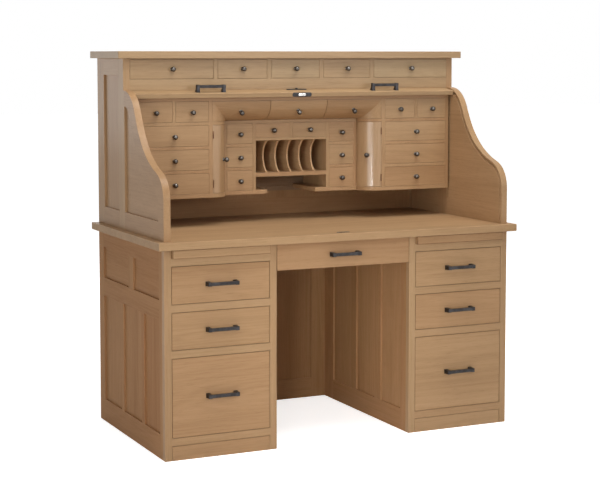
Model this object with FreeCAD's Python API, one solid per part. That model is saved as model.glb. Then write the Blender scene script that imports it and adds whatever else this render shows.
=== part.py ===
"""Roll-top desk with an S-curved slatted curtain, shown open over a fitted pigeonhole unit.

Millimetres. The front faces -Y, +Z is up, and the origin is on the floor under the middle of the desk.
While it is modelled, x runs from the middle, y runs back from the front plane of the pedestals and z runs
up from the floor. save() then moves every piece to the origin.
"""
import FreeCAD, Part
import math
import os

V = FreeCAD.Vector

# Overall sizes
base_width = 1379.0
base_depth = 716.0
writing_height = 762.0
hutch_height = 650.0
desk_thickness = 27.0
desk_side_overhang = 27.0
desk_front_overhang = 28.0
top_thickness = 26.0
top_side_overhang = 26.0
top_front_overhang = 26.0
back_overhang = 6.0

# Pedestals, from the floor up
pedestal_width = 422.0
wall_thickness = 22.0
face_depth = 22.0
face_stile = 26.0
rail_height = 26.5
plinth_height = 50.5
plinth_gap = 1.5
slide_opening = 32.0
drawer_opening = 133.0
back_thickness = 12.0
panel_recess = 7.0
panel_thickness = 10.0

# Outer pedestal walls: stiles, rails and panels
front_stile = 52.0
rear_stile = 56.0
wall_bottom_rail = 86.0
wall_middle_rail = 70.0
wall_top_rail = 63.0
upper_panel_height = 116.0
upper_front_panel = 271.0
upper_muntin = 50.0
lower_front_panel = 158.0
lower_middle_panel = 198.0
lower_muntin = 26.0

# Kneehole walls and back
knee_front_stile = 62.0
knee_rear_stile = 91.0
knee_muntin = 46.0
knee_bottom_rail = 80.0
knee_top_rail = 62.0
knee_back_stile = 61.0
knee_drawer_height = 98.0
knee_back_gap = 244.0
knee_cleat_width = 20.0
knee_cleat_height = 12.0

# Drawer making: large ones in the base, small ones above the writing surface
large_front = 20.0
large_side = 12.0
large_bottom = 6.0
large_gap = 1.5
large_back_gap = 84.0
small_front = 12.0
small_side = 6.0
small_bottom = 4.0
small_gap = 0.75
run_clearance = 0.3
guide_width = 6.0
runner_width = 26.0
runner_height = 18.0
slide_back_gap = 144.0
slide_proud = 14.0

# Handles
pull_length = 112.0
pull_bar = 10.0
pull_reach = 26.0
knob_radius = 8.5
knob_neck_radius = 3.5
knob_neck = 7.0
knob_drop = 3.0

# Hutch: side walls, top drawers and back
hutch_wall = 25.5
hutch_depth = 303.0
hutch_rail_height = 40.0
top_drawer_opening = 72.0
hutch_top_strip = 4.0
narrow_opening = 201.0
top_muntin = 18.0
top_partition = 10.0
case_depth = 22.0
case_shelf = 12.0
shelf_back_gap = 4.0
hutch_rear_stile = 77.0
hutch_panel_width = 171.0
hutch_mid_stile = 64.0
hutch_bottom_rail = 66.0
hutch_top_rail = 62.0
curve_stile = 58.0
lining_seam = 3.0
hutch_back_stile = 70.0

# The S-shaped front edge, from the front of the hutch down to the writing surface
curve_lead = 6.0
curve_top_radius = 123.0
curve_steep_angle = 62.0
curve_steep_run = 54.0
curve_flat_angle = 19.3
curve_flat_run = 26.4
curve_foot_radius = 101.0

# Slatted curtain and its lift rail
slat_inset = 6.0
slat_thickness = 9.0
slat_pitch = 17.4
slat_gap = 1.0
slat_tongue = 6.0
canvas_thickness = 0.8
groove_depth = 7.0
groove_clearance = 0.4
bend_radius = 48.0
curtain_back_gap = 4.0
curtain_floor_gap = 80.0
bend_slats = 3
level_shares = (4, 4, 5)
bend_shares = (1, 1, 1)
drop_shares = (8, 7, 6)
rail_width = 67.0
rail_thickness = 18.0
rail_tilt = 9.0
rail_lead = 59.0
rail_drop = 12.0
rail_end_gap = 0.4
rail_hinge_depth = 10.3
closed_inset = 1.5
closed_gap = 3.5
rail_pull_offset = 364.0
lock_length = 80.0
lock_plate = 0.8
lock_margin = 1.0
bolt_length = 31.0
bolt_height = 9.5
keyhole_length = 84.0
keyhole_width = 5.0
strike_length = 50.0
strike_width = 16.0
strike_thickness = 1.0
strike_clearance = 1.0

# Pigeonhole unit
unit_depth = 280.0
unit_back_gap = 56.0
unit_lift = 108.0
unit_top_gap = 30.0
unit_side_gap = 8.5
unit_board = 12.0
unit_floor = 15.0
unit_back_panel = 6.0
block_stile = 15.0
curve_lip = 3.25
column_stile = 14.0
column_opening = 107.5
bay_half = 149.0
bay_open_height = 49.75
bay_drawer_height = 56.0
bay_shelf = 10.0
bay_divider = 10.0
slot_shelf = 15.0
slot_divider = 6.0
slot_count = 6
scoop_slope = 33.0
floor_stub = 47.0
door_thickness = 12.0
door_gap = 0.5
hinge_radius = 2.2
hinge_height = 26.0
hinge_inset = 22.0
front_split = 2.0
curved_knob_angle = 30.0
cleat_height = 40.0

# Places that follow from the sizes above
half = base_width / 2
under_desk = writing_height - desk_thickness
total_height = writing_height + hutch_height
under_top = total_height - top_thickness
inside = half - hutch_wall
slide_floor = under_desk - slide_opening
drawer_1_floor = slide_floor - rail_height - drawer_opening
drawer_2_floor = drawer_1_floor - rail_height - drawer_opening
file_floor = plinth_height + plinth_gap + rail_height
file_opening = drawer_2_floor - rail_height - file_floor
opening_left = -half + face_stile
opening_right = -half + pedestal_width - face_stile
knee_half = half - pedestal_width
knee_floor = under_desk - knee_drawer_height
back_face = base_depth - back_thickness
large_length = back_face - large_back_gap
slide_length = back_face - slide_back_gap
knee_drawer_length = back_face - knee_back_gap
hutch_setback = base_depth - hutch_depth
drawer_ceiling = under_top - hutch_top_strip
drawer_floor = drawer_ceiling - top_drawer_opening
hutch_rail_bottom = drawer_floor - hutch_rail_height
unit_half = inside - unit_side_gap
unit_bottom = writing_height + unit_lift
unit_top = hutch_rail_bottom - unit_top_gap
unit_ceiling = unit_top - unit_board
unit_back = base_depth - unit_back_gap
unit_front = unit_back - unit_depth
unit_inner_back = unit_back - unit_back_panel
row_height = (unit_ceiling - unit_bottom - unit_floor - 3 * unit_board) / 4
quarter_radius = row_height - 2 * small_gap - curve_lip
recess = unit_front + quarter_radius
x_small = -unit_half + unit_board
x_bay = -bay_half
x_column_end = x_bay - unit_board
x_column = x_column_end - column_opening
x_recess = x_column - column_stile
x_door = x_recess - quarter_radius
x_block = x_door - block_stile
small_opening = (x_block - x_small - unit_board) / 2
steep = math.radians(curve_steep_angle)
flat = math.radians(curve_flat_angle)


def row_floor(row):
    """Height of the floor of a pigeonhole row, counted from 0 at the bottom."""
    return unit_bottom + unit_floor + row * (row_height + unit_board)


def board(x0, x1, y0, y1, z0, z1):
    return Part.makeBox(x1 - x0, y1 - y0, z1 - z0, V(x0, y0, z0))


def plate(wire_edges, direction):
    """A solid drawn by closed edges in a plane and pushed along a direction."""
    return Part.Face(Part.Wire(Part.__sortEdges__(wire_edges))).extrude(direction)


def line(a, b):
    return Part.makeLine(a, b)


def arc(a, middle, b):
    return Part.Arc(a, middle, b).toShape()


def loop(points):
    return Part.makePolygon(points + [points[0]]).Edges


def mirrored(solids):
    return [s.mirror(V(0, 0, 0), V(1, 0, 0)) for s in solids]


def save(node, solids):
    front_reach = max(desk_front_overhang, pull_reach)
    to_origin = V(0, (front_reach - base_depth - back_overhang) / 2, 0)
    shape = Part.makeCompound([s.copy() for s in solids])
    shape.translate(to_origin)
    shape.exportStep("parts/" + node + ".step")


def save_pair(node, solids):
    save("left_" + node, solids)
    save("right_" + node, mirrored(solids))


# Handles, drawn standing on the plane z = 0 and then turned to where they are screwed on

def placed(solids, at, about_x):
    """Turn solids about X, in degrees, and move their origin to a point."""
    turn = FreeCAD.Placement(at, FreeCAD.Rotation(V(1, 0, 0), about_x))
    moved = []
    for solid in solids:
        copy = solid.copy()
        copy.Placement = turn.multiply(copy.Placement)
        moved.append(copy)
    return moved


def pull():
    """Bar pull on two square posts."""
    end = pull_length / 2
    under_bar = pull_reach - pull_bar
    posts = [board(x, x + pull_bar, -pull_bar / 2, pull_bar / 2, 0, under_bar)
             for x in (-end, end - pull_bar)]
    chamfer = pull_bar / 3
    bar = plate(loop([V(-end, -pull_bar / 2, under_bar), V(end, -pull_bar / 2, under_bar),
                      V(end, -pull_bar / 2, pull_reach - chamfer),
                      V(end - chamfer, -pull_bar / 2, pull_reach),
                      V(chamfer - end, -pull_bar / 2, pull_reach),
                      V(-end, -pull_bar / 2, pull_reach - chamfer)]), V(0, pull_bar, 0))
    return posts + [bar]


def knob():
    """Ball knob on a round neck, the ball cut flat where the neck meets it."""
    neck = Part.makeCylinder(knob_neck_radius, knob_neck)
    centre = knob_neck + math.sqrt(knob_radius ** 2 - knob_neck_radius ** 2)
    ball = Part.makeSphere(knob_radius, V(0, 0, centre))
    keep = Part.makeBox(4 * knob_radius, 4 * knob_radius, 4 * knob_radius,
                        V(-2 * knob_radius, -2 * knob_radius, knob_neck))
    return [neck, ball.common(keep)]


def front_pull(x, y, z):
    return placed(pull(), V(x, y, z), 90)


def front_knob(x, y, z):
    return placed(knob(), V(x, y, z), 90)


# Drawers: front, two sides, back and bottom, as separate boards

def drawer_box(x0, x1, y0, y1, z0, z1, side, bottom):
    """Sides, back and bottom of a drawer between two planes; the front closes it at y0."""
    lift = 1.5 * bottom
    return [board(x0, x0 + side, y0, y1, z0, z1),
            board(x1 - side, x1, y0, y1, z0, z1),
            board(x0 + side, x1 - side, y1 - side, y1, z0, z1),
            board(x0 + side, x1 - side, y0, y1 - side, z0 + lift, z0 + lift + bottom)]


def large_drawer(x0, x1, z0, z1, seat, guide, length):
    """Inset base drawer: its sides run on the seat, between the guides."""
    front = board(x0 + large_gap, x1 - large_gap, 0, large_front, z0 + large_gap, z1 - large_gap)
    box = drawer_box(x0 + guide, x1 - guide, large_front, length, seat + run_clearance,
                     z1 - 2 * large_gap - large_side, large_side, large_bottom)
    return [front] + box + front_pull((x0 + x1) / 2, 0, (z0 + z1) / 2)


def small_drawer(x0, x1, y, z0, z1, back, drop):
    """Inset drawer that runs on the shelf under it."""
    front = board(x0 + small_gap, x1 - small_gap, y, y + small_front, z0 + small_gap, z1 - small_gap)
    box = drawer_box(x0 + small_gap, x1 - small_gap, y + small_front, back - small_side, z0 + run_clearance,
                     z1 - small_side, small_side, small_bottom)
    return [front] + box + front_knob((x0 + x1) / 2, y, (z0 + z1) / 2 - drop)


# Frame-and-panel work

def framed_wall(bands, span, height, slab):
    """Stiles, rails, muntins and panels. bands holds (bottom, top, panel spans) from the floor up.
    slab(u0, u1, z0, z1, is_panel) makes one board from its place along the wall and its height."""
    first = bands[0][2][0][0]
    last = bands[0][2][-1][1]
    z_low, z_high = height
    boards = [slab(span[0], first, z_low, z_high, False), slab(last, span[1], z_low, z_high, False)]
    level = z_low
    for bottom, top, panels in bands:
        boards.append(slab(first, last, level, bottom, False))
        for left_panel, right_panel in zip(panels, panels[1:]):
            boards.append(slab(left_panel[1], right_panel[0], bottom, top, False))
        for start, end in panels:
            boards.append(slab(start, end, bottom, top, True))
        level = top
    boards.append(slab(first, last, level, z_high, False))
    return boards


def wall_slab(face, into):
    """Boards of a wall that stands along Y, seen from its face; into is +1 or -1 along X."""
    def slab(y0, y1, z0, z1, is_panel):
        near = face + into * (panel_recess if is_panel else 0)
        far = face + into * (panel_recess + panel_thickness if is_panel else wall_thickness)
        return board(min(near, far), max(near, far), y0, y1, z0, z1)
    return slab


def back_slab(face, thickness, recess_depth):
    """Boards of a wall that stands along X, with its face towards the back."""
    def slab(x0, x1, z0, z1, is_panel):
        rear = face - (recess_depth if is_panel else 0)
        return board(x0, x1, face - thickness, rear, z0, z1)
    return slab


def even_spans(start, end, bar, count):
    width = (end - start - (count - 1) * bar) / count
    return [(start + i * (width + bar), start + i * (width + bar) + width) for i in range(count)]


# Pedestals

def pedestal_sides():
    rear = base_depth - rear_stile
    lower_top = under_desk - wall_top_rail - upper_panel_height - wall_middle_rail
    lower_first = front_stile + lower_front_panel
    lower_second = lower_first + lower_muntin + lower_middle_panel
    lower = [(front_stile, lower_first), (lower_first + lower_muntin, lower_second),
             (lower_second + lower_muntin, rear)]
    upper_first = front_stile + upper_front_panel
    upper = [(front_stile, upper_first), (upper_first + upper_muntin, rear)]
    upper_bottom = lower_top + wall_middle_rail
    outer = framed_wall([(wall_bottom_rail, lower_top, lower),
                         (upper_bottom, upper_bottom + upper_panel_height, upper)],
                        (face_depth, base_depth), (0, under_desk), wall_slab(-half, 1))
    knee = even_spans(knee_front_stile, base_depth - knee_rear_stile, knee_muntin, 3)
    inner = framed_wall([(knee_bottom_rail, under_desk - knee_top_rail, knee)],
                        (face_depth, base_depth), (0, under_desk), wall_slab(-knee_half, -1))
    return outer + inner


def pedestal_carcass():
    """Face frame, plinth, drawer runners with their guides, and the back."""
    outer = -half
    inner = -knee_half
    left_wall = outer + wall_thickness
    right_wall = inner - wall_thickness
    floors = (slide_floor, drawer_1_floor, drawer_2_floor, file_floor)
    boards = [board(outer, opening_left, 0, face_depth, 0, under_desk),
              board(opening_right, inner, 0, face_depth, 0, under_desk)]
    for floor in floors:
        guide = large_gap if floor == slide_floor else guide_width
        boards.append(board(opening_left, opening_right, 0, face_depth, floor - rail_height, floor))
        for wall, into, edge in ((left_wall, 1, opening_left), (right_wall, -1, opening_right)):
            shelf = sorted((wall, wall + into * runner_width))
            strip = sorted((wall, edge + into * (guide - run_clearance)))
            boards.append(board(shelf[0], shelf[1], face_depth, back_face, floor - runner_height, floor))
            boards.append(board(strip[0], strip[1], face_depth, back_face, floor, floor + runner_height))
    boards.append(board(opening_left + plinth_gap, opening_right - plinth_gap, 0, face_depth,
                        0, plinth_height))
    for block in ((left_wall, left_wall + runner_width), (right_wall - runner_width, right_wall)):
        boards.append(board(block[0], block[1], face_depth, face_depth + runner_width, 0, plinth_height))
    panel = [(left_wall + rear_stile, right_wall - rear_stile)]
    boards += framed_wall([(wall_bottom_rail, under_desk - wall_top_rail, panel)], (left_wall, right_wall),
                          (0, under_desk), back_slab(base_depth, back_thickness, panel_recess))
    return boards


def pedestal_drawer(floor, height):
    return large_drawer(opening_left, opening_right, floor, floor + height, floor, guide_width, large_length)


def writing_slide():
    """Pull-out board close under the desk top, with a stop batten across its back end."""
    low = slide_floor + run_clearance
    top = under_desk - large_gap
    left_edge = opening_left + large_gap
    right_edge = opening_right - large_gap
    return [board(left_edge, right_edge, -slide_proud, slide_length, low, top),
            board(left_edge + runner_width + guide_width, right_edge - runner_width - guide_width,
                  slide_length - runner_width, slide_length, low - runner_height, low)]


def kneehole():
    """Framed back of the kneehole and the two cleats that carry its drawer."""
    panel = [(-knee_half + knee_back_stile, knee_half - knee_back_stile)]

    def slab(x0, x1, z0, z1, is_panel):
        near = back_face + (panel_recess if is_panel else 0)
        return board(x0, x1, near, base_depth, z0, z1)
    boards = framed_wall([(knee_bottom_rail, under_desk - knee_top_rail, panel)], (-knee_half, knee_half),
                         (0, under_desk), slab)
    for x in (-knee_half, knee_half - knee_cleat_width):
        boards.append(board(x, x + knee_cleat_width, large_front + large_gap, knee_drawer_length,
                            knee_floor + large_gap, knee_floor + large_gap + knee_cleat_height))
    return boards


def kneehole_drawer():
    return large_drawer(-knee_half, knee_half, knee_floor, under_desk,
                        knee_floor + large_gap + knee_cleat_height, large_gap, knee_drawer_length)


# The S-curve, in the plane x = 0: an outline that every curved piece offsets inwards

curve_run = hutch_setback - curve_lead
hollow_radius = (curve_run - curve_top_radius * math.sin(steep) - curve_steep_run * math.cos(steep)
                 - curve_flat_run * math.cos(flat) - curve_foot_radius * (1 - math.sin(flat)))
hollow_radius /= math.sin(steep) - math.sin(flat)
bend_y = back_face - curtain_back_gap + slat_inset - bend_radius


def step(point, length, slope):
    """A point further down the curve, along a straight of the given slope."""
    return V(0, point.y - length * math.cos(slope), point.z - length * math.sin(slope))


def outward(slope):
    return V(0, -math.sin(slope), math.cos(slope))


def curve_edges(inset):
    """The S-curve, moved in by inset, from its level top to its upright foot."""
    start = V(0, curve_run, hutch_rail_bottom)
    top_centre = start - outward(0) * curve_top_radius
    bend_1 = top_centre + outward(steep) * curve_top_radius
    bend_2 = step(bend_1, curve_steep_run, steep)
    hollow_centre = bend_2 + outward(steep) * hollow_radius
    bend_3 = hollow_centre - outward(flat) * hollow_radius
    bend_4 = step(bend_3, curve_flat_run, flat)
    foot_centre = bend_4 - outward(flat) * curve_foot_radius
    upright = math.pi / 2

    def on_arc(centre, radius, slope):
        return centre + outward(slope) * radius

    def turn(centre, radius, from_slope, to_slope):
        slopes = (from_slope, (from_slope + to_slope) / 2, to_slope)
        return arc(*[on_arc(centre, radius, slope) for slope in slopes])
    top = curve_top_radius - inset
    hollow = -(hollow_radius + inset)
    foot = curve_foot_radius - inset
    return [turn(top_centre, top, 0, steep),
            line(on_arc(top_centre, top, steep), on_arc(hollow_centre, hollow, steep)),
            turn(hollow_centre, hollow, steep, flat),
            line(on_arc(hollow_centre, hollow, flat), on_arc(foot_centre, foot, flat)),
            turn(foot_centre, foot, flat, upright)]


def edge_end(edge, last):
    return edge.valueAt(edge.LastParameter if last else edge.FirstParameter)


def curve_region(inset, rear):
    """Closed outline under the S-curve, from the writing surface up and back to a plane y = rear."""
    edges = curve_edges(inset)
    top = edge_end(edges[0], False)
    foot = edge_end(edges[-1], True)
    corners = [top, V(0, rear, top.z), V(0, rear, writing_height), V(0, foot.y, writing_height), foot]
    return edges + [line(a, b) for a, b in zip(corners, corners[1:])]


def groove_outline():
    """The band that the slat ends run in: up the S-curve, level to the back and down behind."""
    near = slat_inset - groove_clearance
    far = slat_inset + slat_thickness + canvas_thickness + groove_clearance
    bend_z = hutch_rail_bottom - bend_radius
    sides = []
    ends = []
    for inset in (near, far):
        edges = curve_edges(inset)
        top = edge_end(edges[0], False)
        foot = edge_end(edges[-1], True)
        radius = bend_radius - inset
        diagonal = radius / math.sqrt(2)
        level = V(0, bend_y, top.z)
        behind = V(0, bend_y + radius, bend_z)
        low_front = V(0, foot.y, writing_height)
        low_back = V(0, bend_y + radius, writing_height)
        sides += edges + [line(top, level), line(foot, low_front), line(behind, low_back),
                          arc(level, V(0, bend_y + diagonal, bend_z + diagonal), behind)]
        ends.append((low_front, low_back))
    sides += [line(ends[0][0], ends[1][0]), line(ends[0][1], ends[1][1])]
    return sides


def hutch_side():
    """S-fronted side wall: framed panels outside, flush linings and a slat groove inside."""
    outer = -half
    rear_panel_end = base_depth - hutch_rear_stile
    rear_panel_start = rear_panel_end - hutch_panel_width
    mid_front = rear_panel_start - hutch_mid_stile
    low = writing_height + hutch_bottom_rail
    high = under_top - hutch_top_rail
    groove = plate(groove_outline(), V(groove_depth, 0, 0))
    groove.translate(V(-inside - groove_depth, 0, 0))

    def curved(inset):
        solid = plate(curve_region(inset, rear_panel_start), V(hutch_wall, 0, 0))
        solid.translate(V(outer, 0, 0))
        return solid
    ahead = board(outer, -inside, -base_depth, mid_front, 0, total_height)
    behind = board(outer, -inside, mid_front, base_depth, 0, total_height)
    above = board(outer, -inside, hutch_setback, rear_panel_start, hutch_rail_bottom, under_top)
    window = board(outer, -inside, -base_depth, mid_front, low, total_height)
    opening = curved(curve_stile).common(window)
    front_board = curved(0).common(ahead).cut(opening)
    mid_stile = curved(0).common(behind).fuse(above).removeSplitter()
    recessed = board(outer + panel_recess, outer + panel_recess + panel_thickness, -base_depth, base_depth,
                     0, total_height)
    lining_zone = board(outer + panel_recess + panel_thickness, -inside, -base_depth,
                        mid_front - lining_seam, 0, total_height)
    rear_board = board(outer, -inside, rear_panel_end, base_depth, writing_height, under_top)
    rails = [board(outer, -inside, rear_panel_start, rear_panel_end, writing_height, low),
             board(outer, -inside, rear_panel_start, rear_panel_end, high, under_top)]
    panel_x = outer + panel_recess
    rear_panel = board(panel_x, panel_x + panel_thickness, rear_panel_start, rear_panel_end, low, high)
    rear_lining = board(panel_x + panel_thickness, -inside, rear_panel_start, rear_panel_end, low, high)
    frame = [front_board, mid_stile, rear_board] + rails
    solids = [piece.cut(groove) for piece in frame + [rear_lining]]
    return solids + [rear_panel, opening.common(recessed), opening.common(lining_zone)]


# Top drawers of the hutch

wide_opening = (2 * inside - 3 * narrow_opening - 4 * top_muntin) / 2
top_widths = (wide_opening, narrow_opening, narrow_opening, narrow_opening, wide_opening)
shelf_back = back_face - shelf_back_gap
top_openings = [-inside + sum(top_widths[:i]) + i * top_muntin for i in range(len(top_widths))]


def top_case():
    """Front rail, muntins, shelf, partitions and shelf cleats of the row of top drawers."""
    case_back = hutch_setback + case_depth
    boards = [board(-inside, inside, hutch_setback, case_back, hutch_rail_bottom, drawer_floor),
              board(-inside, inside, hutch_setback, case_back, drawer_ceiling, under_top),
              board(-inside, inside, case_back, shelf_back, drawer_floor - case_shelf, drawer_floor)]
    for start, width in zip(top_openings[:-1], top_widths):
        x = start + width
        middle = x + top_muntin / 2
        boards.append(board(x, x + top_muntin, hutch_setback, case_back, drawer_floor, drawer_ceiling))
        boards.append(board(middle - top_partition / 2, middle + top_partition / 2, case_back, shelf_back,
                            drawer_floor, under_top))
    for x in (-inside, inside - case_shelf):
        boards.append(board(x, x + case_shelf, case_back, shelf_back,
                            hutch_rail_bottom + groove_clearance, drawer_floor - case_shelf))
    return boards


def top_drawer(index):
    start = top_openings[index]
    return small_drawer(start, start + top_widths[index], hutch_setback, drawer_floor, drawer_ceiling,
                        shelf_back, 0)


def hutch_back():
    panels = even_spans(-inside + hutch_back_stile, inside - hutch_back_stile, hutch_back_stile, 3)
    return framed_wall([(writing_height + hutch_bottom_rail, under_top - hutch_top_rail, panels)],
                       (-inside, inside), (writing_height, under_top),
                       back_slab(base_depth, back_thickness, panel_recess))


# Slatted curtain, drawn where it lies when the desk is open

level_z = hutch_rail_bottom - slat_inset - slat_thickness
canvas_radius = bend_radius - slat_inset - slat_thickness
rail_slope = math.radians(rail_tilt)
rail_front = hutch_setback - rail_lead
rail_front_height = hutch_rail_bottom - rail_drop
rail_along = V(0, math.cos(rail_slope), math.sin(rail_slope))
rail_down = V(0, math.sin(rail_slope), -math.cos(rail_slope))
rail_hinge = V(0, rail_front, rail_front_height) + rail_along * rail_width + rail_down * rail_hinge_depth
level_start = rail_hinge.y + rail_thickness / 4
level_slats = int((bend_y - level_start) / slat_pitch)
level_pitch = (bend_y - level_start) / level_slats
bend_turn = 90.0 / bend_slats
drop_slats = int((level_z - canvas_radius - writing_height - curtain_floor_gap) / slat_pitch)


def shared(slats, shares):
    """How many slats each strip holds: whole numbers in proportion to the shares."""
    ends = [round(slats * sum(shares[:i + 1]) / sum(shares)) for i in range(len(shares))]
    return [end - start for start, end in zip([0] + ends, ends)]


strip_counts = shared(level_slats, level_shares)
strip_counts += shared(bend_slats, bend_shares)
strip_counts += shared(drop_slats, drop_shares)


def curtain_place(index):
    """Where slat number index lies, and how far it has turned over the back bend, in degrees."""
    bends = level_slats + bend_slats
    bend_centre = V(0, bend_y, level_z - canvas_radius)
    if index <= level_slats:
        return V(0, level_start + index * level_pitch, level_z), 0.0
    if index <= bends:
        turned = (index - level_slats) * bend_turn
        angle = math.radians(turned)
        return bend_centre + V(0, math.sin(angle), math.cos(angle)) * canvas_radius, turned
    return V(0, bend_y + canvas_radius, bend_centre.z - (index - bends) * slat_pitch), 90.0


def curtain_strip(first, count):
    """Neighbouring slats and the strip of canvas that is glued to their backs."""
    reach = inside + slat_tongue
    canvas_half = inside - slat_tongue
    solids = []
    for index in range(first, first + count):
        at, turned = curtain_place(index + 0.5)
        half_slat = (slat_pitch - slat_gap) / 2
        edge = slat_thickness / 3
        profile = [V(-reach, -half_slat, 0), V(-reach, half_slat, 0),
                   V(-reach, half_slat, slat_thickness - edge), V(-reach, half_slat - edge, slat_thickness),
                   V(-reach, edge - half_slat, slat_thickness), V(-reach, -half_slat, slat_thickness - edge)]
        slat = plate(loop(profile), V(2 * reach, 0, 0))
        cloth = board(-canvas_half, canvas_half, -half_slat, half_slat, -canvas_thickness, 0)
        solids += placed([slat, cloth], at, -turned)
    return solids


def lift_rail():
    """Rail at the front of the curtain, with two pulls, the lock plate and bolt, and a keyhole plate."""
    end = inside - rail_end_gap
    rail = board(-end, end, 0, rail_width, -rail_thickness, 0)
    pull_line = rail_width / 3
    pulls = []
    for x in (-rail_pull_offset, rail_pull_offset):
        pulls += placed(pull(), V(x, pull_line, 0), 0)
    middle = -rail_thickness / 2
    lock = board(-lock_length / 2, lock_length / 2, -lock_plate, 0,
                 lock_margin - rail_thickness, -lock_margin)
    bolt = board(-bolt_length / 2, bolt_length / 2, -2 * lock_plate, -lock_plate,
                 middle - bolt_height / 2, middle + bolt_height / 2)
    keyhole_y = 2 * pull_line + pull_bar / 2
    keyhole = board(-keyhole_length / 2, keyhole_length / 2, keyhole_y, keyhole_y + keyhole_width,
                    0, lock_plate)
    return placed([rail] + pulls + [lock, bolt, keyhole], V(0, rail_front, rail_front_height), rail_tilt)


def strike_plate():
    """Plate let on to the desk top, under the bolt of the closed curtain."""
    middle = closed_inset + rail_thickness / 2
    outer = board(-strike_length / 2, strike_length / 2, middle - strike_width / 2, middle + strike_width / 2,
                  writing_height, writing_height + strike_thickness)
    slot_end = bolt_length / 2 + strike_clearance
    slot = board(-slot_end, slot_end, middle - bolt_height / 2, middle + bolt_height / 2,
                 writing_height, writing_height + strike_thickness)
    return [outer.cut(slot)]


# Pigeonhole unit

def quarter_plan(x0, radius, z0, z1):
    """Upright quarter-round column: flush with the unit's front at x0, turning back to the recess."""
    centre = V(x0, recess, z0)
    diagonal = radius / math.sqrt(2)
    start = centre + V(0, -radius, 0)
    end = centre + V(radius, 0, 0)
    edges = [arc(start, centre + V(diagonal, -diagonal, 0), end), line(end, centre), line(centre, start)]
    return plate(edges, V(0, 0, z1 - z0))


def rounded_floor(z0, z1, back):
    """Shelf under or over a door: a quarter-round front on a plain board."""
    centre = V(x_door, recess, z0)
    diagonal = quarter_radius / math.sqrt(2)
    start = centre + V(0, -quarter_radius, 0)
    end = centre + V(quarter_radius, 0, 0)
    edges = [arc(start, centre + V(diagonal, -diagonal, 0), end), line(end, V(x_recess, back, z0)),
             line(V(x_recess, back, z0), V(x_door, back, z0)), line(V(x_door, back, z0), start)]
    return plate(edges, V(0, 0, z1 - z0))


slot_floor = row_floor(0) + bay_open_height
slot_shelf_top = slot_floor + slot_shelf
bay_floor = row_floor(3) - unit_board - bay_drawer_height
slot_height = bay_floor - bay_shelf - slot_shelf_top
third = 2 * -x_door / 3


def unit_half_boards():
    """Boards of the left half of the unit; the right half mirrors them."""
    floor_0 = row_floor(0)
    door_shelf = row_floor(3) - unit_board
    x_stub = x_bay + floor_stub
    cleat_low = floor_0 + unit_board
    cleat_high = unit_ceiling - cleat_height
    x_split = x_small + small_opening
    boards = [board(-unit_half, x_small, unit_front, unit_back, unit_bottom, unit_top),
              board(x_small, x_door, unit_front, unit_back, unit_bottom, floor_0),
              rounded_floor(unit_bottom, floor_0, unit_back),
              board(x_recess, x_stub, recess, unit_back, unit_bottom, floor_0),
              board(x_block, x_door, unit_front, unit_inner_back, floor_0, unit_ceiling),
              rounded_floor(door_shelf, row_floor(3), unit_inner_back),
              board(x_recess, x_column, recess, unit_inner_back, floor_0, door_shelf),
              board(x_column_end, x_bay, recess, unit_inner_back, floor_0, door_shelf),
              board(x_small, x_bay, unit_inner_back, unit_back, floor_0, slot_floor),
              board(x_split, x_split + unit_board, unit_front, unit_inner_back, row_floor(3), unit_ceiling),
              board(-third / 2 - unit_board / 2, -third / 2 + unit_board / 2, recess + small_gap,
                    unit_inner_back, row_floor(3), unit_ceiling)]
    for row in (1, 2, 3):
        boards.append(board(x_small, x_block, unit_front, unit_inner_back, row_floor(row) - unit_board,
                            row_floor(row)))
    for row in (1, 2):
        boards.append(board(x_column, x_column_end, recess, unit_inner_back, row_floor(row) - unit_board,
                            row_floor(row)))
    for low in (cleat_low, cleat_high):
        boards.append(board(-inside, -unit_half, recess, unit_back - unit_board, low, low + cleat_height))
    return boards


def pigeonhole_case():
    """Frame of the unit, open at the bottom and the back under the letter slots."""
    door_shelf = row_floor(3) - unit_board
    half_boards = unit_half_boards()
    middle = [board(x_small, -x_small, unit_front, unit_back, unit_ceiling, unit_top),
              board(x_recess, -x_recess, recess, unit_inner_back, door_shelf, row_floor(3)),
              board(x_bay, -x_bay, recess, unit_inner_back, bay_floor - bay_shelf, bay_floor),
              board(-bay_divider / 2, bay_divider / 2, recess, unit_inner_back, bay_floor, door_shelf),
              board(x_bay, -x_bay, recess, unit_inner_back, slot_floor, slot_shelf_top),
              board(x_small, -x_small, unit_inner_back, unit_back, slot_floor, unit_ceiling)]
    return half_boards + mirrored(half_boards) + middle


def letter_dividers():
    """Thin uprights of the letter slots, with a scooped front edge."""
    clear = (-2 * x_bay - (slot_count - 1) * slot_divider) / slot_count
    low = slot_shelf_top
    high = slot_shelf_top + slot_height
    front = recess + small_gap
    scoop_depth = slot_height / 2 * math.tan(math.radians(scoop_slope))
    plates = []
    for i in range(1, slot_count):
        x = x_bay + i * clear + (i - 1) * slot_divider
        ends = [V(x, front, low), V(x, unit_inner_back, low), V(x, unit_inner_back, high), V(x, front, high)]
        edges = [line(a, b) for a, b in zip(ends, ends[1:])]
        edges.append(arc(ends[3], V(x, front + scoop_depth, (low + high) / 2), ends[0]))
        plates.append(plate(edges, V(slot_divider, 0, 0)))
    return plates


def block_drawer(x0, x1, row):
    return small_drawer(x0, x1, unit_front, row_floor(row), row_floor(row) + row_height, unit_inner_back,
                        knob_drop)


def column_drawer(row):
    return small_drawer(x_column, x_column_end, recess, row_floor(row), row_floor(row) + row_height,
                        unit_inner_back, knob_drop)


def bay_drawer():
    return small_drawer(x_bay, -bay_divider / 2, recess, bay_floor, row_floor(3) - unit_board,
                        unit_inner_back, 0)


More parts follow.
